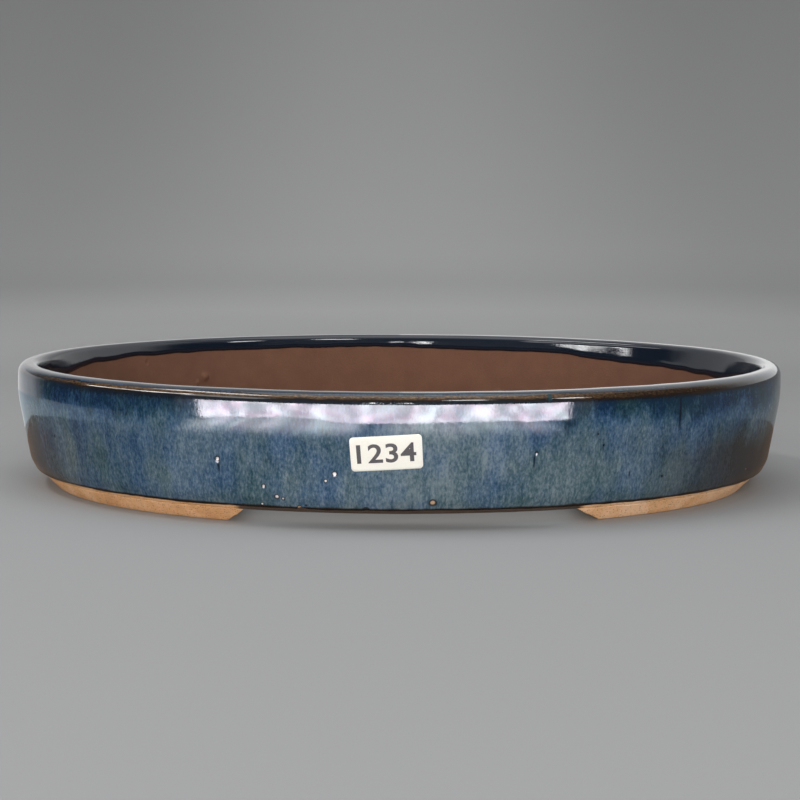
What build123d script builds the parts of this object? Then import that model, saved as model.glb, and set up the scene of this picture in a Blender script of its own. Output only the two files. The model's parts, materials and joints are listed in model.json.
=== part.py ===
from build123d import *
from math import radians, tan
import os

# A shallow oval bonsai pot in glazed stoneware, 315 x 241 x 50 mm.
# Millimetres. The origin is on the ground under the middle of the pot,
# +X along the long way, -Y towards the front with the number label, +Z up.
#
# Every upright section is drawn at the pot's right-hand end, in the plane of
# +X and +Z, and is swept once round the oval outline. A corner of a section
# is given as an inset, measured square inwards from the outline at the pot's
# widest level, and a height above the ground.

# ---- driving dimensions -------------------------------------------------
pot_length = 315.0
pot_width = 241.0
rim_height = 50.2

# glaze
glaze_thickness = 0.6
glaze_line_height = 7.3  # the outside is bare clay below this
inner_glaze_depth = 7.0  # how far down inside the rim the glaze reaches

# clay wall, without its glaze
wall_thickness = 7.4  # at the rim
widest_height = 38.2  # the outer face is upright above this and leans in below
outer_lean = 10.0  # degrees from upright
inner_lean = 8.0
belly_radius = 30.0  # between the upright and the leaning face
heel_lean = 43.0  # degrees from upright, the slope of the foot face
heel_radius = 10.4
outer_shoulder_radius = 3.6
inner_shoulder_radius = 1.8
floor_fillet_radius = 6.0

# floor
foot_height = 5.8
floor_thickness = 6.6
floor_edge_inset = 20.0  # the joint between the wall ring and the floor slab
drain_hole_diameter = 24.0
drain_hole_spacing = 124.0
wire_hole_diameter = 4.5
wire_hole_spacing_x = 196.0
wire_hole_spacing_y = 64.0

# feet: one low ring, cut through at the front and back into two feet
foot_outer_inset = 15.0  # at the ground
foot_inner_inset = 25.0
foot_edge_radius = 0.8
foot_grind = 0.05  # rubbed off the feet so that they stand flat
arch_left_top = -56.0
arch_left_ground = -62.2
arch_right_top = 64.7
arch_right_ground = 73.2
arch_side_bulge = -0.8  # the ends of the feet are rounded off towards the ground

# number label
label_length = 25.6
label_height = 12.6
label_corner_radius = 1.3
label_thickness = 0.12
label_centre_x = -4.5
label_centre_height = 29.0
label_tilt = 3.4  # degrees, right end up

# ---- derived places -----------------------------------------------------
outline_x = pot_length / 2
outline_y = pot_width / 2
clay_inset = glaze_thickness  # the clay's upright outer face
clay_top = rim_height - glaze_thickness
inner_inset = clay_inset + wall_thickness
floor_top = foot_height + floor_thickness
beyond = 20.0  # how far a cutting shape runs past what it cuts

# The leaning wall and the sloping foot face would meet at the heel corner.
wall_slope = tan(radians(outer_lean))
heel_slope = tan(radians(heel_lean))
heel_height = (foot_outer_inset - clay_inset - widest_height * wall_slope) / (heel_slope - wall_slope)
heel_inset = foot_outer_inset - heel_height * heel_slope

outline = Edge.make_ellipse(outline_x, outline_y)


def upright_section(*corners):
    """A face from (inset, height, rounding radius) corners."""
    places = [(outline_x - inset, height) for inset, height, _ in corners]
    section = make_face(Polyline(*places, close=True))
    for place, (_, _, radius) in zip(places, corners):
        if radius:
            corner = section.vertices().sort_by_distance(Vector(*place))[0]
            section = fillet(corner, radius)
    return section


def sweep_round(section):
    """The solid ring that a section leaves when it goes once round the outline."""
    return sweep(sections=Plane.XZ * section, path=outline)


def oval_block(inset, low, high):
    """An upright oval block whose side lies an inset inside the outline."""
    face = Ellipse(outline_x - inset, outline_y - inset)
    return extrude(Pos(0, 0, low) * face, amount=high - low)


def clay_section():
    """The wall ring: heel, leaning wall, rounded rim, inner wall, floor edge."""
    inner_foot = inner_inset + (clay_top - floor_top) * tan(radians(inner_lean))
    return upright_section(
        (foot_outer_inset - foot_height * heel_slope, foot_height, 0),
        (heel_inset, heel_height, heel_radius),
        (clay_inset, widest_height, belly_radius),
        (clay_inset, clay_top, outer_shoulder_radius),
        (inner_inset, clay_top, inner_shoulder_radius),
        (inner_foot, floor_top, floor_fillet_radius),
        (floor_edge_inset + beyond, floor_top, 0),
        (floor_edge_inset + beyond, foot_height, 0),
    )


def build_wall(clay):
    """The clay wall ring, cut off where the floor slab begins."""
    return clay - oval_block(floor_edge_inset, 0, rim_height)


def build_floor():
    """The oval floor slab with its drainage holes and tie-wire holes."""
    slab = oval_block(floor_edge_inset, foot_height, floor_top)
    drains = GridLocations(drain_hole_spacing, 0, 2, 1)
    wires = GridLocations(wire_hole_spacing_x, wire_hole_spacing_y, 2, 2)
    middle = Pos(0, 0, (foot_height + floor_top) / 2)
    slab -= middle * drains * Cylinder(drain_hole_diameter / 2, floor_thickness + beyond)
    slab -= middle * wires * Cylinder(wire_hole_diameter / 2, floor_thickness + beyond)
    return slab


def build_feet():
    """The two feet, left one first."""
    ring = sweep_round(
        upright_section(
            (foot_outer_inset + foot_grind * heel_slope, -foot_grind, foot_edge_radius),
            (foot_inner_inset, -foot_grind, 0),
            (foot_inner_inset, foot_height, 0),
            (foot_outer_inset - foot_height * heel_slope, foot_height, 0),
        )
    )
    ring -= Pos(0, 0, -beyond / 2) * Box(2 * pot_length, 2 * pot_width, beyond)
    left_side = SagittaArc((arch_left_ground, 0), (arch_left_top, foot_height), arch_side_bulge)
    right_side = SagittaArc((arch_right_top, foot_height), (arch_right_ground, 0), arch_side_bulge)
    top = Polyline(
        left_side @ 1,
        (arch_left_top, foot_height + beyond),
        (arch_right_top, foot_height + beyond),
        right_side @ 0,
    )
    bottom = Polyline(
        right_side @ 1,
        (arch_right_ground, -beyond),
        (arch_left_ground, -beyond),
        left_side @ 0,
    )
    arch = make_face(left_side + top + right_side + bottom)
    ring -= extrude(Plane.XZ * arch, amount=pot_width, both=True)
    return ring.solids().sort_by(Axis.X)


def build_glaze(clay, coated):
    """The glaze skin: outside wall, over the rim and a little way down inside."""
    bare_outside = Box(2 * pot_length, 2 * pot_width, 2 * glaze_line_height)
    inner_edge_inset = inner_inset + (inner_glaze_depth - glaze_thickness) * tan(radians(inner_lean))
    between_faces = (inner_inset + inner_edge_inset) / 2
    bare_inside = oval_block(between_faces, 0, rim_height - inner_glaze_depth)
    return coated - clay - bare_outside - bare_inside


def build_label(section, coated):
    """The number label, a thin rounded rectangle that lies on the glaze."""
    papered = sweep_round(offset(section, glaze_thickness + label_thickness))
    blank = RectangleRounded(label_length, label_height, label_corner_radius)
    in_wall = Plane.XZ.offset(outline_y - floor_edge_inset / 2)
    front = in_wall * Pos(label_centre_x, label_centre_height) * Rot(0, 0, label_tilt) * blank
    return (papered - coated) & extrude(front, amount=floor_edge_inset)


section = clay_section()
clay = sweep_round(section)
coated = sweep_round(offset(section, glaze_thickness))
feet = build_feet()
nodes = {
    "clay_wall": build_wall(clay),
    "floor_slab": build_floor(),
    "foot_left": feet[0],
    "foot_right": feet[1],
    "glaze_coat": build_glaze(clay, coated),
    "number_label": build_label(section, coated),
}

os.makedirs("parts", exist_ok=True)
for name, shape in nodes.items():
    export_step(shape, f"parts/{name}.step")
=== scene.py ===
"""The looks of a shallow oval bonsai pot in streaked blue glaze.

Everything is in metres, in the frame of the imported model: the ground is z = 0,
+X is the long way and -Y is the front with the number label. A section of the
pot is a line of (inset, height) points, where the inset is measured square
inwards from the oval outline. "Around" is the way along the outline, from the
middle of the front, positive towards +X.
"""

import json
from collections import namedtuple
from functools import cached_property
from math import cos, pi, radians, sin, tan

import bmesh
import bpy
import numpy as np
from mathutils import Euler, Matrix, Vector, noise
from mathutils.geometry import delaunay_2d_cdt


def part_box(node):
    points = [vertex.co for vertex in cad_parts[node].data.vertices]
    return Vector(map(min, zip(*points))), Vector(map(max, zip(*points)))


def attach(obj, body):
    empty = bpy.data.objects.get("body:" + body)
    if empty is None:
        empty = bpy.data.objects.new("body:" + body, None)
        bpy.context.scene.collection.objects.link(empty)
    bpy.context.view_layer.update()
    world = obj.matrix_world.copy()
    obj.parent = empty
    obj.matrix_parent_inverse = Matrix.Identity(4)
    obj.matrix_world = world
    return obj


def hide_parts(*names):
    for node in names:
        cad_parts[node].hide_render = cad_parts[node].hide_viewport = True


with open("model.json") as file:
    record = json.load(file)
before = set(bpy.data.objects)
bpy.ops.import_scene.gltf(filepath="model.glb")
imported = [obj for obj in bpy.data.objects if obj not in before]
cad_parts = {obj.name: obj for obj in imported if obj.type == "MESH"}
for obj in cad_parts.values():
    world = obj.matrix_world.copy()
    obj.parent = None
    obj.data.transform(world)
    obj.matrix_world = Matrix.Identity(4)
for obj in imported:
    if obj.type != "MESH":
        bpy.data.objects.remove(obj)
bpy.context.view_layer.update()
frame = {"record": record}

MM = 0.001

# ---- sizes from the frame ----
glaze_low, glaze_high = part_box("glaze_coat")
clay_low, clay_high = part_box("clay_wall")
_, slab_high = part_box("floor_slab")
label_low, label_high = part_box("number_label")
half_length = glaze_high.x
half_width = glaze_high.y
rim_height = glaze_high.z
glaze_line = glaze_low.z
foot_height = clay_low.z
floor_top = slab_high.z
floor_edge = half_length - slab_high.x
glaze_thickness = rim_height - clay_high.z

# ---- sizes of the looks ----
wall_thickness = 7.4 * MM
widest_height = 38 * MM
rim_lean_in = 0.45 * MM  # how far the upper wall leans in, up to the rim
outer_lean = radians(10)
inner_lean = radians(8)
heel_lean = radians(43)
heel_radius = 10.4 * MM
belly_radius = 55 * MM
outer_rim_radius = 3.4 * MM
inner_rim_radius = 2.2 * MM
floor_fillet_radius = 6 * MM
brown_edge_height = 48 * MM  # where the glaze breaks over the rim
surface_wander = 0.16 * MM  # how uneven the glazed wall is

foot_outer_inset = 15 * MM
foot_inner_inset = 25 * MM
foot_end_rounding = 0.8 * MM
# where along X each foot is cut off, at the ground and at its top
foot_cuts = {"foot_left": (-62.2 * MM, -56 * MM), "foot_right": (73.2 * MM, 64.7 * MM)}

label_around = -4.5 * MM
label_height = (label_low.z + label_high.z) / 2
label_size = (25.6 * MM, 12.6 * MM)
label_radius = 1.4 * MM
label_tilt = radians(3.4)
label_thickness = 0.12 * MM

# how finely the two large meshes are divided
glaze_columns, glaze_rows = 980, 88
wall_columns, wall_rows = 880, 100

# ---- the oval ----
def running_total(steps):
    """0, the first step, the first two steps together, and so on."""
    return np.concatenate([[0], np.cumsum(steps)])


table_angles = np.linspace(-1.5 * pi, 0.5 * pi, 16001)
table_steps = np.hypot(
    np.diff(half_length * np.cos(table_angles)),
    np.diff(half_width * np.sin(table_angles)),
)
table_around = running_total(table_steps)
perimeter = table_around[-1]
table_around -= perimeter / 2


def oval(around, inset, height):
    """Points at a place around, an inset in from the outline, and a height."""
    angle = np.interp(around, table_around, table_angles)
    across_x = half_width * np.cos(angle)
    across_y = half_length * np.sin(angle)
    size = np.hypot(across_x, across_y)
    x = half_length * np.cos(angle) - inset * across_x / size
    y = half_width * np.sin(angle) - inset * across_y / size
    return np.stack(np.broadcast_arrays(x, y, height), axis=-1)


def spread(low, high, count, finer_at=(), reach=3 * MM, finer=3):
    """Places from low to high, closer together near the finer places."""
    fine = np.linspace(low, high, 20001)
    weight = np.ones_like(fine)
    for place in finer_at:
        weight += finer * np.exp(-(((fine - place) / reach) ** 2))
    total = running_total((weight[1:] + weight[:-1]) / 2)
    return np.interp(np.linspace(0, total[-1], count), total, fine)


# ---- sections ----
class Section:
    """A rounded line of (inset, height, radius) corners, and its length."""

    def __init__(self, *corners):
        points = [np.array(corners[0][:2])]
        for before, corner, after in zip(corners, corners[1:], corners[2:]):
            points.extend(self.rounding(before, corner, after))
        points.append(np.array(corners[-1][:2]))
        coarse = np.array(points)
        length = running_total(np.linalg.norm(np.diff(coarse, axis=0), axis=1))
        self.along = np.arange(0, length[-1], 0.05 * MM)
        self.inset = np.interp(self.along, length, coarse[:, 0])
        self.height = np.interp(self.along, length, coarse[:, 1])
        slope = np.stack([np.gradient(self.inset), np.gradient(self.height)])
        slope /= np.linalg.norm(slope, axis=0)
        self.out = np.stack([-slope[1], slope[0]])
        self.length = self.along[-1]

    @staticmethod
    def rounding(before, corner, after):
        """The points of the arc that rounds one corner."""
        middle = np.array(corner[:2])
        back = np.array(before[:2]) - middle
        on = np.array(after[:2]) - middle
        back /= np.linalg.norm(back)
        on /= np.linalg.norm(on)
        turn = pi - np.arccos(np.clip(back @ on, -1, 1))
        if corner[2] == 0 or turn < 1e-6:
            return [middle]
        inwards = (back + on) / np.linalg.norm(back + on)
        centre = middle + inwards * corner[2] / cos(turn / 2)
        first = middle + back * corner[2] * tan(turn / 2) - centre
        last = middle + on * corner[2] * tan(turn / 2) - centre
        shares = np.linspace(0, 1, 25)
        first_shares = np.sin((1 - shares) * turn)[:, None] / sin(turn)
        last_shares = np.sin(shares * turn)[:, None] / sin(turn)
        return list(centre + first * first_shares + last * last_shares)

    def at(self, along, lift=0):
        """Inset and height at a length along, lifted square off the section."""
        inset = np.interp(along, self.along, self.inset)
        height = np.interp(along, self.along, self.height)
        out_inset = np.interp(along, self.along, self.out[0])
        out_height = np.interp(along, self.along, self.out[1])
        return inset + lift * out_inset, height + lift * out_height

    def outside_at(self, height):
        """The length along at which the outer wall is at a height."""
        top = np.argmax(self.height)
        return np.interp(height, self.height[:top], self.along[:top])

    def inside_at(self, height):
        """The length along at which the inner wall is at a height."""
        top = np.argmax(self.height)
        return np.interp(-height, -self.height[top:], self.along[top:])


clay_top = rim_height - glaze_thickness
heel_slope = tan(heel_lean)
wall_slope = tan(outer_lean)
wall_run = foot_outer_inset - glaze_thickness - widest_height * wall_slope
heel_height = wall_run / (heel_slope - wall_slope)
foot_top_inset = foot_outer_inset - foot_height * heel_slope
inner_inset = glaze_thickness + wall_thickness
wall = Section(
    (foot_top_inset, foot_height, 0),
    (foot_outer_inset - heel_height * heel_slope, heel_height, heel_radius),
    (glaze_thickness, widest_height, belly_radius),
    (glaze_thickness + rim_lean_in, clay_top, outer_rim_radius),
    (inner_inset, clay_top, inner_rim_radius),
    (inner_inset + (clay_top - floor_top) * tan(inner_lean), floor_top, floor_fillet_radius),
    (floor_edge, floor_top, 0),
)


# ---- unevenness ----
def noise_at(points, scale, seed):
    """Smooth noise from -1 to 1 at points, one value each."""
    shift = Vector((seed * 7.31, seed * 3.77, seed * 5.13))
    flat = points.reshape(-1, 3) / scale
    values = [noise.noise(Vector(p) + shift) for p in flat.tolist()]
    return np.array(values).reshape(points.shape[:-1])


def smooth(value, low, high):
    """0 below low, 1 above high, and a smooth step between."""
    share = np.clip((value - low) / (high - low), 0, 1)
    return share * share * (3 - 2 * share)


def column_points(around, along):
    """Points whose distances are those on the unrolled wall, with no seam."""
    return oval(around, 0, along)


def wander(around, along):
    """How far the glazed surface lies below its true shape, never above it."""
    points = column_points(around, along)
    broad = noise_at(points * (1, 1, 1.3), 38 * MM, 1)
    middling = noise_at(points, 12 * MM, 2)
    ripple = noise_at(points * (1, 1, 0.6), 5 * MM, 3)
    return surface_wander * (0.5 * broad + 0.42 * middling + 0.10 * ripple - 0.8)


def clay_relief(points):
    """The unevenness of bare clay, as a lift."""
    hand = noise_at(points, 30 * MM, 4)
    tool = noise_at(points, 7 * MM, 5)
    grain = noise_at(points, 1.6 * MM, 6)
    return MM * (0.10 * hand + 0.05 * tool + 0.02 * grain)


# Flaws in the glaze, in millimetres: where they are, the radius and depth of the
# hole, and the length of the drip below it. The last number is how much bare
# clay shows: none, a pale middle under 0.5 that is a painted highlight, and tan
# clay from 0.5 up.
Flaw = namedtuple("Flaw", "place level radius depth drip clay")
flaws = [Flaw(*numbers) for numbers in (
    (-67, 24.9, 0.9, 0.42, 4.5, 0.3),
    (-49.7, 15.7, 0.7, 0.28, 0, 0.3),
    (-44.9, 11.9, 0.9, 0.36, 0, 0.3),
    (-42.6, 11.3, 0.58, 0.22, 0, 0.3),
    (-51, 9, 0.5, 0.2, 0, 0.3),
    (-23.1, 21.1, 0.85, 0.35, 1.5, 0.3),
    (-26.4, 18.4, 0.58, 0.22, 0, 0.3),
    (-34.2, 9.2, 0.35, 0.25, 0, 0),
    (-36.8, 8.3, 0.85, 0.4, 0, 1),
    (-12, 8.2, 1.1, 0.1, 0, 0),
    (12.3, 10.6, 1.25, 0.5, 0, 1),
    (49.6, 28.4, 0.55, 0.3, 5, 0),
    (73, 34.2, 0.35, 0.15, 3, 0),
    (75.6, 30, 0.35, 0.12, 3, 0),
    (103.5, 16.3, 0.45, 0.22, 2, 0),
    (158, 13.1, 0.6, 0.3, 0, 0.6),
    (-150, 26, 0.6, 0.35, 3, 0),
    (-262, 18, 0.8, 0.4, 2.5, 0.4),
    (-330, 12, 0.6, 0.35, 0, 0.8),
    (-392, 30, 0.5, 0.3, 4, 0),
    (420, 14, 0.9, 0.45, 0, 1),
    (366, 24, 0.5, 0.3, 3, 0),
    (301, 11, 0.7, 0.35, 0, 0.5),
    (236, 28, 0.5, 0.3, 3.5, 0),
)]

# Lumps and dents in the clay inside, in millimetres.
Lump = namedtuple("Lump", "place level radius lift")
clay_lumps = [Lump(*numbers) for numbers in (
    (-337.6, 32.3, 1.6, 1.4),
    (-333.4, 30, 1, 0.7),
    (-305.6, 41, 0.8, -0.9),
    (388, 24, 1.3, 0.5),
    (120, 30, 1.2, 0.6),
)]


def flaw_lift(around, height):
    """The dents of the flaws, the raised rings round them and their drips."""
    lift = np.zeros(np.broadcast(around, height).shape)
    for flaw in flaws:
        aside = around / MM - flaw.place
        above = height / MM - flaw.level
        distance = np.hypot(aside, above) / flaw.radius
        lift -= flaw.depth * np.exp(-(distance**4))
        lift += 0.18 * flaw.depth * np.exp(-(((distance - 1.45) / 0.4) ** 2))
        if flaw.drip:
            down = np.clip(-above / flaw.drip, 0, 1)
            bead = np.exp(-((aside / (0.45 * flaw.radius)) ** 2)) * smooth(down, 0.05, 0.3)
            lift += 0.12 * bead * (1 - smooth(down, 0.85, 1))
    return lift * MM


# ---- mesh helpers ----
def place_in_scene(name, data):
    """An object of a mesh, a light or a camera, in the scene."""
    made = bpy.data.objects.new(name, data)
    bpy.context.scene.collection.objects.link(made)
    return made


def make_object(name, points, faces, material, smooth_shading=True):
    """An object of a mesh with one material."""
    mesh = bpy.data.meshes.new(name)
    mesh.from_pydata(np.reshape(points, (-1, 3)).tolist(), [], faces)
    mesh.update()
    if smooth_shading:
        mesh.polygons.foreach_set("use_smooth", [True] * len(mesh.polygons))
    mesh.materials.append(material)
    return place_in_scene(name, mesh)


def set_vectors(made, name, vectors):
    """Stores a vector for each point of a mesh, for its material to read."""
    attribute = made.data.attributes.new(name, "FLOAT_VECTOR", "POINT")
    attribute.data.foreach_set("vector", vectors.reshape(-1).astype(np.float32))


def grid_faces(rows, columns, closed_rows=False, closed_columns=False, start=0):
    """Faces of a grid of points that are numbered row by row."""
    row = np.arange(rows if closed_rows else rows - 1)[:, None]
    column = np.arange(columns if closed_columns else columns - 1)[None, :]
    next_row = (row + 1) % rows
    next_column = (column + 1) % columns
    corners = [
        row * columns + column,
        row * columns + next_column,
        next_row * columns + next_column,
        next_row * columns + column,
    ]
    return (np.stack(corners, axis=-1).reshape(-1, 4) + start).tolist()


def finish_piece(made, replaced, merge=1e-7):
    """Cleans a piece's mesh, and makes it ride on the pot for its CAD node.

    Doubled points are welded, empty faces dropped and the normals turned outwards.
    """
    work = bmesh.new()
    work.from_mesh(made.data)
    bmesh.ops.remove_doubles(work, verts=work.verts, dist=merge)
    bmesh.ops.dissolve_degenerate(work, edges=work.edges, dist=merge)
    bmesh.ops.recalc_face_normals(work, faces=work.faces)
    work.to_mesh(made.data)
    work.free()
    made.data.update()
    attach(made, "root")
    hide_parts(replaced)


def flat_fill(loops, step, inside):
    """Triangles between closed loops of 2-D points, with a grid of points inside."""
    points = []
    edges = []
    for loop in loops:
        first = len(points)
        points.extend(Vector(p) for p in loop)
        edges.extend((first + i, first + (i + 1) % len(loop)) for i in range(len(loop)))
    low = np.min(loops[0], axis=0)
    high = np.max(loops[0], axis=0)
    for row, y in enumerate(np.arange(low[1], high[1], step * 0.866)):
        for x in np.arange(low[0] + (row % 2) * step / 2, high[0], step):
            if inside((x, y), 0.6 * step):
                points.append(Vector((x, y)))
    filled, _, faces, *_ = delaunay_2d_cdt(points, edges, [], 0, 1e-9)
    filled = [tuple(p) for p in filled]
    kept = [f for f in faces if inside(np.mean([filled[i] for i in f], axis=0), 0)]
    return filled, [tuple(f) for f in kept]


# ---- materials ----
class Shader:
    """A material's node tree, with its Principled shader, built node by node."""

    def __init__(self, name):
        self.material = bpy.data.materials.new(name)
        self.material.use_nodes = True
        self.tree = self.material.node_tree
        self.principled = self.tree.nodes["Principled BSDF"]

    def set(self, **values):
        """Sets or links the shader's own sockets."""
        for name, value in values.items():
            socket = name.replace("_", " ").title().replace("Ior", "IOR")
            self.put(self.principled.inputs[socket], value)

    def put(self, socket, value):
        """Links a socket to another one, or gives it a value."""
        if isinstance(value, bpy.types.NodeSocket):
            self.tree.links.new(value, socket)
        else:
            socket.default_value = value

    def node(self, kind, inputs=(), **settings):
        """A node with its inputs set or linked, by name or number."""
        made = self.tree.nodes.new("ShaderNode" + kind)
        for name, value in settings.items():
            setattr(made, name, value)
        for name, value in dict(inputs).items():
            self.put(made.inputs[name], value)
        return made

    @cached_property
    def here(self):
        """Where a point is, in metres."""
        return self.node("TexCoord").outputs["Object"]

    @cached_property
    def across(self):
        """How far to the right a point is, in millimetres."""
        return self.times(self.part(self.here, 0), 1 / MM)

    @cached_property
    def height(self):
        """How high a point is, in millimetres."""
        return self.times(self.part(self.here, 2), 1 / MM)

    def attribute(self, name):
        """The three numbers that a mesh holds for each point under a name."""
        return self.node("Attribute", attribute_name=name).outputs["Vector"]

    def stretched(self, vector, *factors):
        """A vector with each part multiplied by its factor."""
        stretch = self.node("VectorMath", {0: vector, 1: factors}, operation="MULTIPLY")
        return stretch.outputs["Vector"]

    def noise(self, vector, size, detail=3, roughness=0.5, distortion=0):
        """Noise with features of about a size in millimetres."""
        inputs = {
            "Vector": vector,
            "Scale": 1 / (size * MM),
            "Detail": detail,
            "Roughness": roughness,
            "Distortion": distortion,
        }
        return self.node("TexNoise", inputs).outputs["Fac"]

    def math(self, operation, first, second=0.5):
        """One value worked out from two."""
        made = self.node("Math", {0: first, 1: second}, operation=operation)
        return made.outputs["Value"]

    def times(self, first, *others):
        """The product of values."""
        for other in others:
            first = self.math("MULTIPLY", first, other)
        return first

    def plus(self, first, *others):
        """The sum of values."""
        for other in others:
            first = self.math("ADD", first, other)
        return first

    def blend(self, *parts):
        """The sum of (value, weight) parts."""
        return self.plus(*[self.times(value, weight) for value, weight in parts])

    def swayed(self, value, unevenness, amount):
        """A value moved up and down by noise, over an amount in all."""
        sway = self.math("SUBTRACT", unevenness, 0.5)
        return self.plus(value, self.times(sway, amount))

    def away(self, value, middle=0):
        """How far a value is from a middle, either way."""
        return self.math("ABSOLUTE", self.math("SUBTRACT", value, middle))

    def distance(self, first, second=(0, 0, 0)):
        """The distance between two points."""
        made = self.node("VectorMath", {0: first, 1: tuple(second)}, operation="DISTANCE")
        return made.outputs["Value"]

    def span(self, value, low, high, to_low=0, to_high=1):
        """A value mapped smoothly from one range to another and kept in it."""
        limits = {"From Min": low, "From Max": high, "To Min": to_low, "To Max": to_high}
        inputs = {"Value": value, **limits}
        made = self.node("MapRange", inputs, interpolation_type="SMOOTHSTEP")
        return made.outputs["Result"]

    def ramp(self, value, *stops):
        """A colour ramp of (place, colour) stops."""
        made = self.node("ValToRGB", {"Fac": value})
        elements = made.color_ramp.elements
        while len(elements) < len(stops):
            elements.new(0.5)
        for element, (place, colour) in zip(elements, stops):
            element.position = place
            element.color = (*colour, 1)
        return made.outputs["Color"]

    def mix(self, share, first, second, blend="MIX"):
        """Two colours mixed by a share."""
        made = self.node("Mix", data_type="RGBA", blend_type=blend)
        self.put(made.inputs[0], share)
        self.put(made.inputs[6], (*first, 1) if isinstance(first, tuple) else first)
        self.put(made.inputs[7], (*second, 1) if isinstance(second, tuple) else second)
        return made.outputs[2]

    def part(self, vector, axis):
        """One of a vector's three numbers."""
        return self.node("SeparateXYZ", {0: vector}).outputs[axis]

    def bump(self, height, distance, strength=1):
        """Small relief, of a height in millimetres for a value of 1."""
        inputs = {"Height": height, "Distance": distance * MM, "Strength": strength}
        return self.node("Bump", inputs).outputs["Normal"]


# Thin dark runs in the glaze, in millimetres.
Run = namedtuple("Run", "place top bottom width")
dark_runs = [Run(*numbers) for numbers in (
    (108.5, 47, 33, 0.75),
    (72.6, 35.5, 32.5, 0.6),
    (75.4, 31, 28, 0.6),
    (48.9, 28, 22, 0.45),
    (-66.7, 24.5, 19.5, 0.7),
    (-160.5, 47.5, 38.5, 0.8),
    (88, 20, 16, 0.5),
    (-27, 39.5, 35, 0.5),
    (-255, 44, 30, 0.5),
    (-371, 38, 24, 0.6),
    (402, 45, 33, 0.5),
    (318, 36, 22, 0.6),
)]
# Places around, in millimetres, where glaze bridges the brown break of the rim.
rim_gaps = [54, -170, -290, 345, 210]


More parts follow.
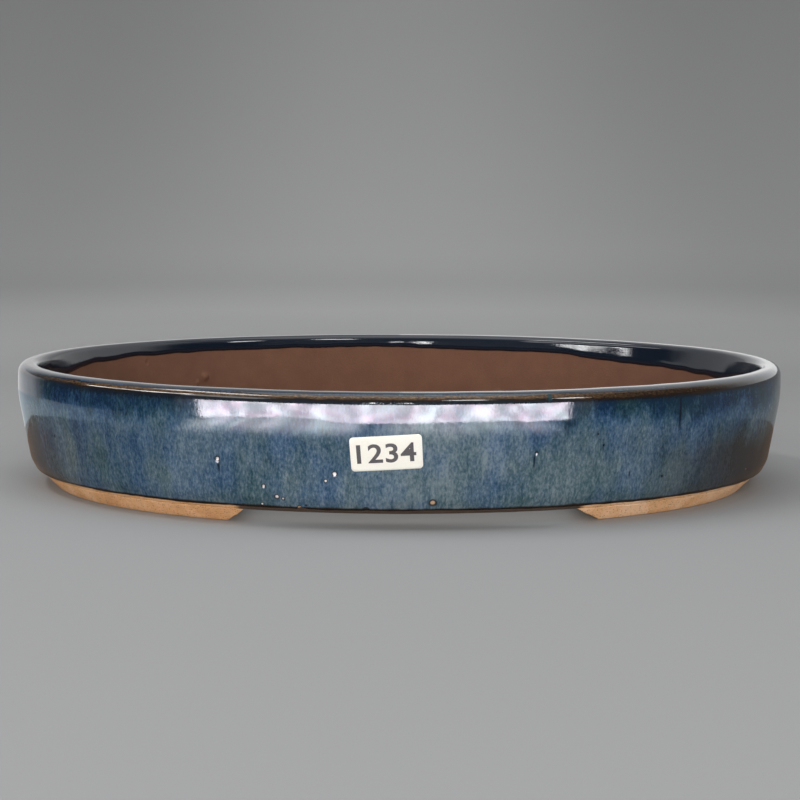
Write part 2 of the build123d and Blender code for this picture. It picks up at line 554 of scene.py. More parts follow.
class GlazeShader(Shader):
    """Glossy glaze: streaks that ran down, brown where it thins over the rim.

    "Flow" is where a point is on the unrolled wall, with the length along the
    section as its last number. "Along" is that length in millimetres.
    """

    def __init__(self):
        super().__init__("blue_glaze")
        self.flow = self.attribute("flow")
        self.along = self.times(self.part(self.flow, 2), 1 / MM)
        self.fleck = self.flowing(0.5, 0.8, 3, 0.65)
        self.streak = self.flowing(0.22, 1.7, 4, 0.62)
        self.uneven = self.flowing(0.3, 9, 4, 0.6)

        colour = self.rim_and_lip(self.streaks())
        for run in dark_runs:
            thin = self.span(self.column_distance(run.place), run.width * MM, 0.4 * run.width * MM)
            upper = self.span(self.height, run.top + 1, run.top - 2)
            lower = self.span(self.height, run.bottom - 1, run.bottom + 3)
            colour = self.mix(self.times(thin, upper, lower, 0.92), colour, (0.006, 0.012, 0.026))

        # flaws: dark rings, pale middles that are painted highlights, and bare clay in the deepest
        ring = self.near_flaws(flaws, 0.95, 1.5)
        spot = self.near_flaws([flaw for flaw in flaws if flaw.clay >= 0.5], 0.6, 0.95)
        pale = self.near_flaws([flaw for flaw in flaws if 0 < flaw.clay < 0.5], 0.55, 1)
        colour = self.mix(self.times(ring, 0.85), colour, (0.010, 0.009, 0.010))
        colour = self.mix(spot, colour, (0.50, 0.33, 0.19))
        # painted highlight: the pale middle of a flaw
        colour = self.mix(pale, colour, (0.82, 0.76, 0.72))

        skin = self.noise(self.here, 0.7, 2, 0.6)
        relief = self.blend((self.streak, 0.5), (self.fleck, 0.20), (skin, 0.22))
        rough = self.plus(self.span(self.fleck, 0.35, 0.75, 0.04, 0.10), self.times(spot, 0.5))
        self.set(base_color=colour, roughness=rough, ior=1.52, normal=self.bump(relief, 0.035))

    def flowing(self, down, size, detail, roughness):
        """Noise on the unrolled wall, drawn out downwards by 1 / down."""
        return self.noise(self.stretched(self.flow, 1, 1, down), size, detail, roughness)

    def streaks(self):
        """The wall's colour: dark near the rim, milky where the glaze ran thick."""
        curtain = self.flowing(0.30, 9, 3, 0.5)
        cloud = self.flowing(0.9, 34, 2, 0.5)
        depth = self.swayed(self.height, curtain, 24)
        milk = self.blend((self.fleck, 0.64), (self.streak, 0.30), (curtain, 0.36), (cloud, 0.34))
        milk = self.plus(milk, self.span(depth, 44, 36, -0.24, 0))
        blue = self.ramp(
            milk,
            (0.56, (0.006, 0.019, 0.046)),
            (0.74, (0.023, 0.058, 0.116)),
            (0.86, (0.056, 0.102, 0.162)),
            (1.00, (0.118, 0.168, 0.222)),
        )
        green = self.ramp(
            milk,
            (0.56, (0.008, 0.025, 0.036)),
            (0.74, (0.034, 0.073, 0.090)),
            (0.86, (0.077, 0.116, 0.138)),
            (1.00, (0.134, 0.180, 0.198)),
        )
        hue = self.plus(
            self.flowing(0.6, 13, 2.5, 0.55),
            self.span(self.height, 40, 12, -0.06, 0.04),
            self.span(self.across, -70, 60, -0.03, 0.05),
        )
        colour = self.mix(self.span(hue, 0.30, 0.68), blue, green)

        # brighter in the middle of the front
        bright = self.span(self.away(self.across, 4), 92, 34)
        brightened = self.mix(1, colour, (1.30, 1.22, 1.20), "MULTIPLY")
        colour = self.mix(bright, colour, brightened)

        # olive flecks in the streaks
        olive = self.flowing(0.5, 1.4, 2, 0.5)
        colour = self.mix(self.span(olive, 0.60, 0.76, 0, 0.30), colour, (0.060, 0.086, 0.060))

        # towards the ends it is darker and browner low down, in part the glaze's own colour and in
        # part a painted reflection of the brown table
        end = self.span(self.away(self.across, -14), 92, 150)
        low = self.span(depth, 36, 20)
        return self.mix(self.times(end, low, 0.85), colour, (0.030, 0.027, 0.027))

    def rim_and_lip(self, colour):
        """Lays the rim's colours and the dark lower edge over the wall's colour."""
        # over the rim and inside it the glaze is nearly black
        crown = wall.outside_at(rim_height - 1.2 * MM) / MM
        inside = self.span(self.along, crown - 0.4, crown + 0.8)
        colour = self.mix(inside, colour, (0.006, 0.010, 0.018))

        # the break over the outer edge of the rim: brown between two dark lines
        edge = wall.outside_at(brown_edge_height) / MM
        off_edge = self.math("SUBTRACT", self.swayed(self.along, self.uneven, 1.5), edge)
        lower_edge = self.plus(off_edge, self.span(self.across, 30, 80, 0, 0.9))
        whole = self.span(self.away(self.across), 105, 150, 1, 0.35)
        below = self.span(off_edge, -4, -1.2)
        above = self.span(off_edge, 1.7, 0.9)
        dark_share = self.times(below, above, self.times(whole, 0.9))
        colour = self.mix(dark_share, colour, (0.007, 0.009, 0.012))

        # the brown itself, and the teal of the gaps in it
        unbridged = whole
        for gap in rim_gaps:
            clear = self.span(self.column_distance(gap), 0.3 * MM, 1.1 * MM)
            unbridged = self.math("MINIMUM", unbridged, clear)
        bridged = self.math("SUBTRACT", whole, unbridged)
        level = self.times(self.span(lower_edge, -1.3, -0.6), self.span(off_edge, 1.1, 0.5))
        colour = self.mix(self.times(level, unbridged), colour, self.brown(lower_edge))
        colour = self.mix(self.times(level, bridged), colour, (0.010, 0.034, 0.040))

        # the thick lower edge is almost black
        lip = wall.outside_at(glaze_line) / MM
        drop = self.swayed(self.along, self.uneven, 1.2)
        lip_share = self.span(drop, lip + 2.3, lip + 1.4)
        return self.mix(lip_share, colour, (0.014, 0.009, 0.007))

    def brown(self, lower_edge):
        """Grainy brown, darker to the right and towards its lower edge."""
        grainy = self.noise(self.stretched(self.flow, 0.8, 0.8, 2), 0.8, 3, 0.6)
        brown = self.ramp(
            grainy,
            (0.34, (0.028, 0.014, 0.007)),
            (0.48, (0.066, 0.035, 0.015)),
            (0.60, (0.120, 0.070, 0.032)),
            (0.76, (0.190, 0.122, 0.060)),
        )
        rightwards = self.span(self.across, 40, 95, 0, 0.78)
        brown = self.mix(rightwards, brown, (0.016, 0.011, 0.009))
        downwards = self.span(lower_edge, 0.35, -0.75)
        return self.mix(downwards, brown, (0.014, 0.009, 0.007))

    def column_distance(self, place):
        """Distance along the outline from a place around, in millimetres."""
        return self.distance(self.stretched(self.flow, 1, 1, 0), oval(place * MM, 0, 0))

    def near_flaws(self, chosen, near, far):
        """1 within the near share of a flaw's radius, and 0 from the far share on."""
        found = None
        for flaw in chosen:
            along = wall.outside_at(flaw.level * MM)
            centre = oval(flaw.place * MM, *wall.at(along, glaze_thickness))
            reach = (flaw.radius * near * MM, flaw.radius * far * MM)
            one = self.span(self.distance(self.here, centre), *reach, 1, 0)
            found = one if found is None else self.math("MAXIMUM", found, one)
        return found


def painted_heel_shade(shader):
    """Where the bare heel is darkened with painted shade, at the front and back between the feet."""
    left = shader.span(shader.across, -60, -57)
    right = shader.span(shader.across, 68, 65)
    low = shader.span(shader.height, glaze_line / MM + 1.5, glaze_line / MM + 0.5)
    outward = shader.distance(shader.stretched(shader.here, 1 / half_length, 1 / half_width, 0))
    return shader.times(left, right, low, shader.span(outward, 0.83, 0.90))


def clay_material(name, tones, inside_tones=None):
    """Bare fired clay with dark grog, darker and browner inside the pot, in part as painted shade."""
    shader = Shader(name)
    patch = shader.noise(shader.here, 9, 3, 0.55)
    grain = shader.noise(shader.here, 0.7, 4, 0.7)

    # the tan outside, with faint facets that are stronger on the right foot, and painted light that
    # makes the clay on the right a little lighter
    flattened = shader.stretched(shader.here, 1, 1, 0.3)
    cuts = shader.node("TexVoronoi", {"Vector": flattened, "Scale": 1 / (15 * MM)})
    cut = shader.span(shader.part(cuts.outputs["Color"], 1), 0.2, 0.8, -0.03, 0.05)
    right = shader.span(shader.across, 50, 90)
    facet = shader.times(cut, shader.plus(right, 0.35))
    value = shader.blend((patch, 0.40), (grain, 0.38))
    # painted light: the clay on the right is raised a little in tone
    outer_value = shader.plus(value, 0.115, facet, shader.times(right, 0.035))
    colour = shader.ramp(outer_value, *zip((0.36, 0.50, 0.64), tones))

    # grog, fewer and fainter specks of it inside
    grog = shader.node("TexVoronoi", {"Vector": shader.here, "Scale": 1 / (0.80 * MM)})
    speck = shader.span(grog.outputs["Distance"], 0.34, 0.18)
    chosen = shader.span(shader.part(grog.outputs["Color"], 0), 0.52, 0.56)
    dark = shader.times(speck, chosen, 0.70)
    if inside_tones:
        # inside the pot the clay is darker and browner, in part as painted shade
        inner = shader.ramp(shader.plus(value, 0.11), *zip((0.36, 0.50, 0.66), inside_tones))
        level = shader.span(shader.height, foot_height / MM + 3, floor_top / MM - 1)
        colour = shader.mix(level, colour, inner)
        # painted shade: the heel between the feet is darkened as if shadowed under the pot
        colour = shader.mix(painted_heel_shade(shader), colour, (0.060, 0.038, 0.022))
        dark = shader.times(dark, shader.span(level, 0, 1, 1, 0.25))
    colour = shader.mix(dark, colour, (0.075, 0.040, 0.022))
    pores = shader.noise(shader.here, 0.45, 3, 0.7)
    relief = shader.blend((grain, 0.8), (pores, 0.5))
    shader.set(
        base_color=colour,
        roughness=shader.span(grain, 0.3, 0.7, 0.78, 0.95),
        specular_ior_level=0.25,
        normal=shader.bump(relief, 0.16),
    )
    return shader.material


def paper_material():
    """Cream label paper with faint smudges and fibres."""
    shader = Shader("label_paper")
    smudge = shader.span(shader.noise(shader.here, 7, 3, 0.6), 0.56, 0.78, 0, 0.35)
    fibre = shader.noise(shader.stretched(shader.here, 1, 1, 2.5), 0.5, 4, 0.7)
    base = shader.ramp(fibre, (0.3, (0.74, 0.71, 0.62)), (0.7, (0.82, 0.79, 0.70)))
    colour = shader.mix(smudge, base, (0.74, 0.62, 0.55))
    shader.set(
        base_color=colour,
        roughness=shader.span(fibre, 0.3, 0.7, 0.42, 0.55),
        normal=shader.bump(fibre, 0.012),
    )
    return shader.material


def ink_material():
    """Charcoal print, a little uneven."""
    shader = Shader("label_ink")
    speckle = shader.noise(shader.here, 0.4, 4, 0.7)
    shader.set(
        base_color=shader.ramp(speckle, (0.35, (0.016, 0.014, 0.014)), (0.75, (0.045, 0.040, 0.038))),
        roughness=shader.span(speckle, 0.3, 0.7, 0.40, 0.60),
        normal=shader.bump(speckle, 0.008),
    )
    return shader.material


def floor_material():
    """A plain pale grey studio floor, with painted shade that makes it a little duller to the sides
    far behind the pot.
    """
    shader = Shader("studio_grey")
    cloud = shader.noise(shader.here, 260, 2, 0.5)
    share = shader.swayed(shader.math("DIVIDE", shader.distance(shader.here), 3), cloud, 0.04)
    grey = shader.ramp(
        share,
        (0.14, (0.306, 0.306, 0.305)),
        (0.32, (0.480, 0.478, 0.474)),
        (0.56, (0.525, 0.523, 0.516)),
        (0.82, (0.435, 0.434, 0.428)),
    )
    # painted shade: darker towards the sides far behind the pot
    side = shader.span(shader.away(shader.across), 30, 550)
    behind = shader.span(shader.part(shader.here, 1), 0.25, 0.9)
    shaded_far_sides = shader.mix(1, grey, (0.78, 0.78, 0.78), "MULTIPLY")
    shader.set(
        base_color=shader.mix(shader.times(side, behind), grey, shaded_far_sides),
        roughness=shader.span(cloud, 0.3, 0.7, 0.80, 0.90),
        specular_ior_level=0,
    )
    return shader.material


tan_tones = ((0.60, 0.295, 0.120), (0.80, 0.430, 0.195), (0.93, 0.600, 0.365))
# the tones inside the pot are darker in part as painted shade
brown_tones = ((0.106, 0.048, 0.028), (0.121, 0.056, 0.033), (0.140, 0.067, 0.039))
glaze_look = GlazeShader().material
wall_look = clay_material("bare_clay", tan_tones, brown_tones)
foot_look = clay_material("foot_clay", tan_tones)


# ---- glaze ----
def inner_depth(around):
    """How far down inside the rim the glaze reaches, uneven round the pot."""
    places = [-440, -300, -268, -250, -150, 0, 150, 230, 258, 290, 324, 346, 357, 418, 440]
    depths = [6, 6.4, 7.5, 10, 7.5, 6.5, 7, 10.5, 12.5, 11, 9.9, 8.6, 7.3, 7, 6]
    return np.interp(around / MM, places, depths) * MM


def glaze_lift(along, low, high):
    """How far the glaze stands off the clay."""
    lower = np.clip((along - low) / (0.8 * MM), 0, 1)
    upper = np.clip((high - along) / (2.6 * MM), 0, 1)
    rounded = np.sqrt(1 - (1 - np.minimum(lower, upper)) ** 2)
    roll = 0.28 * MM * np.exp(-(((along - low - 1.3 * MM) / (1 * MM)) ** 2))
    return (glaze_thickness + roll) * rounded


def build_glaze():
    """The glaze skin, a thin closed shell that lies on the clay."""
    flaw_places = [flaw.place * MM for flaw in flaws]
    front_flaws = [flaw for flaw in flaws if -100 < flaw.place < 200]
    flaw_levels = [wall.outside_at(flaw.level * MM) for flaw in front_flaws]
    half = perimeter / 2
    around = spread(-half, half, glaze_columns + 1, flaw_places, 2 * MM, 4)[:-1]
    lip = wall.outside_at(glaze_line)
    shoulder = wall.outside_at(rim_height - 2.5 * MM)
    end = wall.inside_at(rim_height - 7 * MM)
    busy = [lip, lip + 2 * MM, shoulder, shoulder + 3 * MM, end - 7.5 * MM, end - 5 * MM]
    busy_rows = [(place - lip) / (end - lip) for place in busy + flaw_levels]
    rows = spread(0, 1, glaze_rows, busy_rows, 0.03, 0.8)[:, None]

    points = column_points(around, 0)
    low = lip + 0.45 * MM * noise_at(points, 14 * MM, 8) + 0.25 * MM * noise_at(points, 5 * MM, 9)
    chip = np.exp(-(((around + 35.8 * MM) / (1.3 * MM)) ** 2))
    low = low + 0.9 * MM * chip
    high = wall.inside_at(rim_height - inner_depth(around))
    high = high + 0.5 * MM * noise_at(points, 9 * MM, 10)
    along = low + (high - low) * rows
    sunk = wander(around, along)
    _, plain_height = wall.at(along)
    lift = glaze_lift(along, low, high) + sunk * smooth(along, low, low + 2 * MM)
    outside = along < wall.outside_at(rim_height - 3 * MM)
    lift = lift + np.where(outside, flaw_lift(around, plain_height), 0)
    lift = np.maximum(lift, 0.03 * MM)
    lift[0] = -0.05 * MM
    lift[-1] = -0.05 * MM
    inset, height = wall.at(along, lift)
    front = oval(around, inset, height)

    hidden = along[-2:1:-8]
    inset, height = wall.at(hidden, -0.45 * MM)
    back = oval(around, inset, height)
    grid = np.concatenate([front, back])
    faces = grid_faces(len(grid), len(around), closed_rows=True, closed_columns=True)
    made = make_object("glaze_skin", grid, faces, glaze_look)

    flow = column_points(around, np.concatenate([along, hidden]))
    set_vectors(made, "flow", flow)
    finish_piece(made, "glaze_coat", 1e-9)


# ---- clay ----
def build_wall():
    """The clay wall ring, mostly under the glaze."""
    lump_places = [lump.place * MM for lump in clay_lumps]
    half = perimeter / 2
    around = spread(-half, half, wall_columns + 1, lump_places, 3 * MM, 3)[:-1]
    end = wall.length
    lump_rows = [wall.inside_at(lump.level * MM) for lump in clay_lumps]
    rows = spread(0, end, wall_rows, [4 * MM, end - 3 * MM, *lump_rows], 4 * MM, 0.5)[:, None]
    bare_below = wall.outside_at(glaze_line + 1 * MM)
    bare_above = wall.inside_at(rim_height - 5 * MM)
    bare_outside = 1 - smooth(rows, bare_below, bare_below + 1 * MM)
    bare = np.maximum(bare_outside, smooth(rows, bare_above, end - 20 * MM))
    inset, height = wall.at(rows)
    relief = clay_relief(oval(around, inset, height)) * bare
    for lump in clay_lumps:
        far = np.hypot(around / MM - lump.place, height / MM - lump.level) / lump.radius
        relief = relief + lump.lift * MM * np.exp(-(far**3)) * (rows > end / 2)
    inset, height = wall.at(rows, relief)
    upper = oval(around, inset, height)
    under_insets = np.linspace(floor_edge, foot_top_inset, 12)[:-1, None]
    under_relief = 0.5 * clay_relief(oval(around, under_insets, foot_height)) + 0.05 * MM
    under = oval(around, under_insets, foot_height + np.maximum(under_relief, 0))
    grid = np.concatenate([upper, under])
    faces = grid_faces(len(grid), len(around), closed_rows=True, closed_columns=True)
    made = make_object("clay_ring", grid, faces, wall_look)
    finish_piece(made, "clay_wall")


def hole_places():
    """Centres and radii of the drainage holes and the tie-wire holes."""
    bores = [mount for mount in frame["record"]["mounts"] if mount["kind"] == "bore"]
    return [(*bore["pos_m"][:2], bore["dims"]["r_mm"] * MM) for bore in bores]


def build_floor():
    """The floor slab, with rounded edges at its holes."""
    around = spread(-perimeter / 2, perimeter / 2, 361)[:-1]
    outline = oval(around, floor_edge, 0)[:, :2]
    holes = hole_places()
    turn = np.linspace(0, 2 * pi, 65)[:-1]
    rounding = 0.7 * MM

    def circle(hole, radius):
        x, y, _ = hole
        return np.stack([x + radius * np.cos(turn), y + radius * np.sin(turn)], axis=-1)

    def inside(point, margin):
        x, y = point
        edge = floor_edge + margin
        if np.hypot(x / (half_length - edge), y / (half_width - edge)) >= 1:
            return False
        return all(np.hypot(x - h[0], y - h[1]) > h[2] + rounding + margin for h in holes)

    loops = [outline, *(circle(hole, hole[2] + rounding) for hole in holes)]
    flat, triangles = flat_fill(loops, 3.2 * MM, inside)
    flat = np.array(flat)

    def level_points(loop, level, relief):
        """Flat points raised to a level, with a share of the clay's relief."""
        raised = np.column_stack([loop, np.full(len(loop), level)])
        raised[:, 2] += clay_relief(raised) * relief
        return raised

    top = level_points(flat, floor_top, 1)
    bottom = level_points(flat, foot_height, 0)
    points = [*top.tolist(), *bottom.tolist()]
    faces = [*triangles, *(tuple(i + len(flat) for i in f[::-1]) for f in triangles)]

    def add_rings(rings, count):
        start = len(points)
        points.extend(np.concatenate(rings).tolist())
        faces.extend(grid_faces(len(rings), count, closed_columns=True, start=start))

    edges = [level_points(outline, floor_top, 1), level_points(outline, foot_height, 0)]
    add_rings(edges, len(outline))
    bends = np.linspace(0, pi / 2, 5)
    for hole in holes:
        circles = [circle(hole, hole[2] + rounding * (1 - sin(bend))) for bend in bends]
        drops = rounding * (1 - np.cos(bends))
        upper = [level_points(c, floor_top - drop, drop == 0) for c, drop in zip(circles, drops)]
        lower = [level_points(c, foot_height + drop, 0) for c, drop in zip(circles, drops)]
        add_rings([*upper, *lower[::-1]], len(turn))
    made = make_object("floor_plate", points, faces, wall_look)
    finish_piece(made, "floor_slab", 2e-6)


def around_at(x, inset, front):
    """The place around where a line at an inset crosses a place along X."""
    table = oval(table_around, inset, 0)
    if front:
        part = np.abs(table_around) < perimeter / 4
    elif x > 0:
        part = table_around > perimeter / 4
    else:
        part = table_around < -perimeter / 4
    order = np.argsort(table[part, 0])
    return np.interp(x, table[part, 0][order], table_around[part][order])


def build_foot(node, name):
    """One foot: a strip under the heel round one end, cut off at front and back."""
    section = Section(
        (foot_top_inset, foot_height, 0),
        (foot_outer_inset, 0, 0.9 * MM),
        (foot_inner_inset, 0, 0.6 * MM),
        (foot_inner_inset, foot_height, 0),
        (foot_top_inset + 0.01 * MM, foot_height, 0),
    )
    along = np.linspace(0, section.length, 60)[:-1]
    plain_inset, plain_height = section.at(along)
    ground, top = foot_cuts[node]
    cuts = ground + (top - ground) * np.clip(plain_height / foot_height, 0, 1)
    front = np.array([around_at(x, inset, True) for x, inset in zip(cuts, plain_inset)])
    back = np.array([around_at(x, inset, False) for x, inset in zip(cuts, plain_inset)])

    # stations from the front cut to the back cut, close together at both
    rounding = foot_end_rounding
    length = np.abs(back - front).mean()
    first = rounding * (1 - np.cos(np.linspace(0, pi / 2, 6)))[:-1]
    inner = np.linspace(rounding, length - rounding, 300)
    stations = np.concatenate([first, inner, length - first[::-1]]) / length
    from_end = np.minimum(stations, 1 - stations) * length
    missing = np.clip(rounding - from_end, 0, rounding)
    shrink = rounding - np.sqrt(np.maximum(rounding**2 - missing**2, 0))

    middle_inset = (plain_inset.min() + plain_inset.max()) / 2
    middle_height = foot_height / 2
    grid = []
    for station, narrower in zip(stations, shrink):
        around = front + (back - front) * station
        inwards = narrower * (1 - plain_height / foot_height)
        inset = plain_inset + np.clip(middle_inset - plain_inset, -inwards, inwards)
        height = plain_height + np.clip(middle_height - plain_height, 0, inwards)
        grid.append(oval(around, inset, height))
    faces = grid_faces(len(stations), len(along), closed_columns=True)
    last = (len(stations) - 1) * len(along)
    faces.append(tuple(range(len(along)))[::-1])
    faces.append(tuple(range(last, last + len(along))))
    made = make_object(name, grid, faces, foot_look)
    finish_piece(made, node)


# ---- label ----
def on_wall(flat, lift):
    """Flat label points laid on the front wall and its unevenness."""
    flat = np.asarray(flat)
    right = flat[:, 0] * cos(label_tilt) - flat[:, 1] * sin(label_tilt)
    up = flat[:, 0] * sin(label_tilt) + flat[:, 1] * cos(label_tilt)
    around = label_around + right
    along = wall.outside_at(label_height) + up
    inset, height = wall.at(along, glaze_thickness + wander(around, along) + lift)
    return oval(around, inset, height)


def rounded_rectangle(size, radius, steps=9):
    """A closed loop of points round a rectangle with rounded corners."""
    loop = []
    for quarter, (sx, sy) in enumerate(((1, 1), (-1, 1), (-1, -1), (1, -1))):
        for share in np.linspace(0, 1, steps):
            angle = (quarter + share) * pi / 2
            x = sx * (size[0] / 2 - radius) + radius * cos(angle)
            y = sy * (size[1] / 2 - radius) + radius * sin(angle)
            loop.append((x, y))
    return np.array(loop)


def build_label():
    """The paper label, laid on the glaze."""
    step = 0.7 * MM
    corners = rounded_rectangle(label_size, label_radius)
    loop = []
    for here, after in zip(corners, np.roll(corners, -1, axis=0)):
        count = max(1, int(np.linalg.norm(after - here) / step))
        loop.extend(here + (after - here) * k / count for k in range(count))
    loop = np.array(loop)

    def inside(point, margin):
        x = max(abs(point[0]) - label_size[0] / 2 + label_radius + margin, 0)
        y = max(abs(point[1]) - label_size[1] / 2 + label_radius + margin, 0)
        return np.hypot(x, y) < label_radius

    flat, triangles = flat_fill([loop], step, inside)
    shrink = 1 - 0.05 * MM / (label_size[1] / 2)  # the upper edge is bevelled
    sunk = -0.03 * MM  # the underside is pressed into the glaze
    top = on_wall(np.array(flat) * shrink, label_thickness)
    bottom = on_wall(flat, sunk)
    top_edge = on_wall(loop * shrink, label_thickness)
    rim = on_wall(loop, 0.6 * label_thickness)
    bottom_edge = on_wall(loop, sunk)
    points = np.concatenate([top, bottom, top_edge, rim, bottom_edge])
    count = len(flat)
    faces = [*triangles, *(tuple(i + count for i in f[::-1]) for f in triangles)]
    faces.extend(grid_faces(3, len(loop), closed_columns=True, start=2 * count))
    made = make_object("paper_label", points, faces, paper_material())
    finish_piece(made, "number_label", 2e-7)


def build_digits():
    """Generic printed digits, a thin layer on the paper."""
    text = bpy.data.curves.new("digits", "FONT")
    text.body = "1234"
    text.size = 9.6 * MM
    text.offset = 0.18 * MM
    text.space_character = 1.06
    text.extrude = 0.5 * MM
    text.align_x = "CENTER"
    text.align_y = "CENTER"
    text.resolution_u = 6
    drawn = place_in_scene("digits", text)
    bpy.context.view_layer.update()
    evaluated = drawn.evaluated_get(bpy.context.evaluated_depsgraph_get())
    mesh = bpy.data.meshes.new_from_object(evaluated)
    bpy.data.objects.remove(drawn)
    points = np.array([v.co for v in mesh.vertices])
    flat = points[:, :2] - (points[:, :2].min(axis=0) + points[:, :2].max(axis=0)) / 2
    flat[:, 0] *= 1.16  # the digits are a little wider than the typeface's own
    lift = label_thickness + np.where(points[:, 2] > 0, 0.03, -0.05) * MM
    at_wall = on_wall(flat, 0)
    places = at_wall + (on_wall(flat, 1 * MM) - at_wall) * (lift / MM)[:, None]
    faces = [tuple(p.vertices) for p in mesh.polygons]
    ink = ink_material()
    made = make_object("printed_digits", places, faces, ink, smooth_shading=False)
    finish_piece(made, "number_label")


build_glaze()
build_wall()
build_floor()
build_foot("foot_left", "left_foot")
build_foot("foot_right", "right_foot")
build_label()
build_digits()


# ---- studio ----
def build_studio():
    """A pale floor that curves up all round, far from the pot."""
    flat_radius, bend_radius, top = 1.4, 1.4, 2.4
    turn = np.linspace(0, 2 * pi, 129)[:-1]
    bend = np.linspace(0, pi / 2, 25)
    flat_radii = [0.02, 0.1, 0.3, 0.6, 1]
    wall_radius = flat_radius + bend_radius
    radii = np.concatenate([flat_radii, flat_radius + bend_radius * np.sin(bend), [wall_radius]])
    levels = np.concatenate([np.zeros(len(flat_radii)), bend_radius * (1 - np.cos(bend)), [top]])
    x = radii[:, None] * np.cos(turn)
    y = radii[:, None] * np.sin(turn)
    grid = np.stack([x, y, levels[:, None] + 0 * turn], axis=-1)
    faces = grid_faces(len(radii), len(turn), closed_columns=True)
    faces.append(tuple(range(len(turn)))[::-1])
    floor = make_object("studio_floor", grid, faces, floor_material())


# Colours of the glow cards: the dark, middle and light tones of their patches.
white = ((1, 1, 1),) * 3
warm = ((1, 0.70, 0.50),) * 3
cool = ((0.84, 0.94, 1),) * 3
lilac = ((1, 0.76, 0.92), (0.95, 0.90, 1), (0.86, 0.94, 1))
milky = ((1, 0.86, 0.94), (0.93, 0.94, 1), (0.84, 0.97, 0.98))
card_points = 97  # along a card


def glow_material(name, radiance, colours, blotch, rising):
    """A light-giving surface, blotchy by a share, that is clear where it fades.

    It is clear at its near edge too, up to the rising share of its width.
    """
    shader = Shader(name)
    shader.tree.nodes.remove(shader.principled)
    card = shader.attribute("card")
    spots = shader.noise(shader.stretched(card, 1, 0.010, 1), 8, 2, 0.5)
    tint = shader.noise(shader.stretched(card, 1, 0.02, 1), 13, 4, 0.7)
    weakest, strongest = radiance * (1 - blotch), radiance * (1 + 1.6 * blotch)
    strength = shader.span(spots, 0.38, 0.66, weakest, strongest)
    colour = shader.ramp(tint, *zip((0.36, 0.50, 0.62), colours))
    emission = shader.node("Emission", {"Color": colour, "Strength": strength})
    clear = shader.node("BsdfTransparent")
    solid = shader.part(card, 2)
    if rising:
        solid = shader.times(solid, shader.span(shader.part(card, 1), 0, rising))
    inputs = {0: solid, 1: clear.outputs["BSDF"], 2: emission.outputs["Emission"]}
    surface = shader.node("MixShader", inputs).outputs["Shader"]
    shader.put(shader.tree.nodes["Material Output"].inputs["Surface"], surface)
    return shader.material


def glow_card(name, places, near, far, radiance, colours=white, blotch=0, fades=(0, 0), rising=0):
    """A curved card round the pot that is seen only in reflections.

    It runs from one place around to another. Its near and far edges are each at
    a distance out from the outline and a level. Each end can fade over a length.
    All of these are in millimetres.
    """
    around = np.linspace(*places, card_points) * MM
    grid = np.stack([oval(around, -out * MM, level * MM) for out, level in (near, far)])
    look = glow_material(name, radiance, colours, blotch, rising)
    made = make_object(name, grid, grid_faces(2, len(around)), look)
    first = smooth(around - around[0], -1 * MM, fades[0] * MM)
    last = smooth(around[-1] - around, -1 * MM, fades[1] * MM)
    edges = [np.stack(np.broadcast_arrays(around, share, first * last), axis=-1) for share in (0, 1)]
    set_vectors(made, "card", np.stack(edges))
    made.visible_camera = False
    made.visible_diffuse = False
    made.visible_shadow = False


def rectangle_light(name, size, radiance, location):
    """A soft rectangular light, unseen by the camera, that shines down."""
    light = bpy.data.lights.new(name, "AREA")
    light.shape = "RECTANGLE"
    light.size, light.size_y = size
    light.energy = radiance * pi * size[0] * size[1]
    made = place_in_scene(name, light)
    made.location = location
    made.visible_camera = False
    return made


def area_light(name, turn, rise, distance, size, radiance, in_gloss=True, spread=180):
    """A rectangular light that faces the pot.

    Its direction is a turn from the front towards +X and a rise, in degrees. The
    spread is how widely it fans out, also in degrees.
    """
    across, up = radians(turn), radians(rise)
    direction = Vector((sin(across) * cos(up), -cos(across) * cos(up), sin(up)))
    made = rectangle_light(name, size, radiance, direction * distance)
    made.rotation_euler = direction.to_track_quat("Z", "Y").to_euler()
    made.data.spread = radians(spread)
    made.visible_glossy = in_gloss


def build_lights():
    """Soft light from the top and front, and lamps for the highlights."""
    area_light("top_soft", 0, 84, 1.6, (1.2, 1.2), 1.5)
    area_light("top_left", -72, 58, 1.6, (0.9, 0.16), 12)
    area_light("front_fill", 0, 12, 1.5, (2.4, 0.3), 2, in_gloss=False, spread=80)
    area_light("window_left", -60, 30, 1.5, (1.3, 0.35), 3.2)
    area_light("lamp_right", 17, 34, 1.4, (0.20, 0.20), 14)
    area_light("lamp_far_right", 44, 30, 1.4, (0.18, 0.20), 14)
    area_light("lamp_dot_left", 1, 11, 1.4, (0.012, 0.12), 70)
    area_light("lamp_dot_right", -6, 11, 1.4, (0.015, 0.14), 70)

    # a faint glow under the front of the floor slab keeps its shadow pale
    under_place = (4 * MM, -28 * MM, foot_height - 0.4 * MM)
    under = rectangle_light("under_glow", (124 * MM, 150 * MM), 0.50, under_place)
    under.data.color = (0.86, 0.95, 1)
    under.visible_glossy = False

    world = bpy.data.worlds.new("studio_air")
    world.use_nodes = True
    background = world.node_tree.nodes["Background"]
    background.inputs["Color"].default_value = (0.95, 0.97, 1, 1)
    background.inputs["Strength"].default_value = 0.6
    bpy.context.scene.world = world


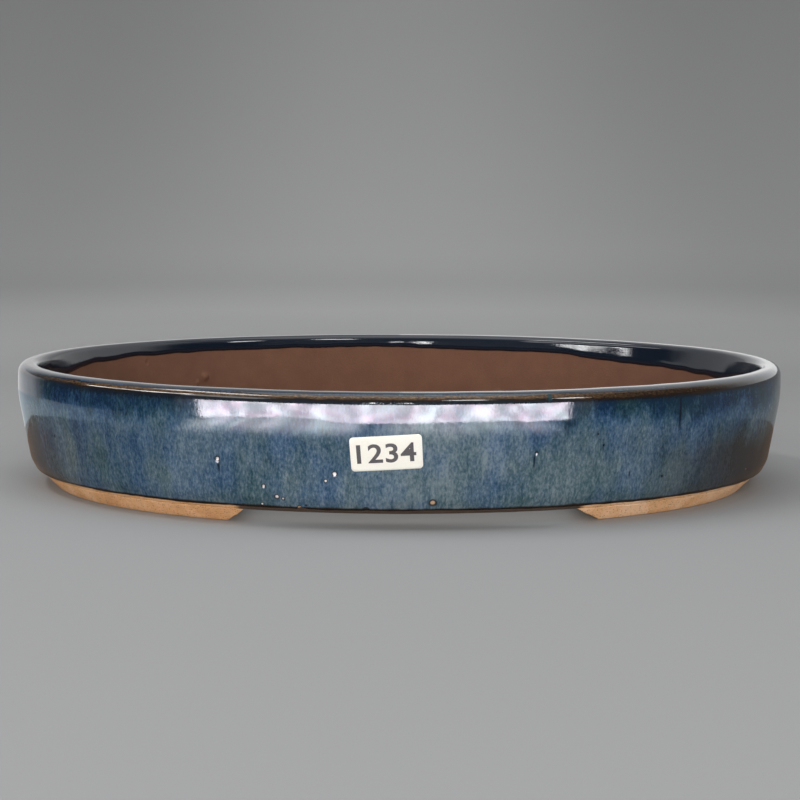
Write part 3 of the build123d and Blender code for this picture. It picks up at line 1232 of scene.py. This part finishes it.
def build_cards():
    """Cards for what the glaze reflects: the table, the front and both ends."""
    half = perimeter / 2 / MM

    # the table, on cards that lie just above the floor
    lying = 0.3
    left_bend, left_reach = (-300, -255), (25, 88)
    all_reach = np.interp(np.linspace(-half, half, card_points), left_bend, left_reach)
    end_reach = np.interp(np.linspace(-300, -150, card_points), left_bend, left_reach)
    glow_card("table_near", (-half, half), (-14.5, lying), (all_reach, lying), 0.13, warm)
    end_level = 1.5 * lying
    glow_card("table_left", (-300, -150), (-14.5, end_level), (end_reach, end_level), 0.20, warm)
    glow_card("table_front", (-125, 108), (88, lying), (184, lying), 0.10, warm)

    # the milky sheen below the strip
    near, far = (62, 2 * lying), (420, 2 * lying)
    sheen = {"colours": milky, "blotch": 0.25, "fades": (16, 16), "rising": 0.22}
    glow_card("sheen_left", (-122, -14), near, far, 8.5, **sheen)
    glow_card("sheen_right", (-16, 92), near, far, 4.8, **sheen)

    # the strip along the front, with an uneven lower edge
    strip_places = [-118, -106, -99, -60, -30, 5, 100]
    strip_levels = [0, 0.5, 9, 10, 5, 1, 0]
    low = np.interp(np.linspace(-118, 100, card_points), strip_places, strip_levels)
    glow_card("front_strip", (-118, 100), (185, low), (185, 50), 16.5, lilac, 0.34)

    # the left end
    glow_card("left_card", (-290, -126), (88, 0), (88, 21), 0.68, cool, fades=(0, 60))
    glow_card("left_end_card", (-330, -216), (90, 0), (90, 80), 0.8, fades=(30, 22))
    glow_card("left_high_card", (-330, -236), (90, 80), (90, 500), 0.8, fades=(30, 50))
    glow_card("left_shade", (-290, -119), (96, 0), (96, 200), 0.03)
    lamp_top = np.linspace(112, 126, card_points)
    glow_card("left_lamp_card", (-186, -114), (80, 104), (80, lamp_top), 14, blotch=0.5)

    # the right end
    glow_card("right_end_card", (125, 330), (90, 0), (90, 60), 0.24, fades=(80, 30))
    glow_card("right_high_card", (174, 330), (90, 60), (90, 500), 1.25, fades=(60, 30))
    glow_card("right_shade", (101, 232), (96, 0), (96, 200), 0.03)

    # the back
    glow_card("left_back_card", (-half, -280), (130, 0), (130, 500), 0.80)
    glow_card("right_back_card", (280, half), (130, 0), (130, 500), 1.2)


def build_camera():
    """A camera a little above the rim, looking at the front."""
    looks_down = radians(7.2154)
    roll = 0.00363  # radians
    data = bpy.data.cameras.new("camera")
    data.sensor_width = 36
    data.lens = 76.88
    data.clip_start = 0.01
    data.clip_end = 20
    camera = place_in_scene("camera", data)
    camera.location = (0.26 * MM, -709.65 * MM, 122.49 * MM)
    turn = Euler((pi / 2 - looks_down, 0, 0)).to_matrix() @ Euler((0, 0, roll)).to_matrix()
    camera.rotation_euler = turn.to_euler()
    bpy.context.scene.camera = camera


build_studio()
build_lights()
build_cards()
build_camera()
bpy.context.scene.view_settings.view_transform = "Standard"
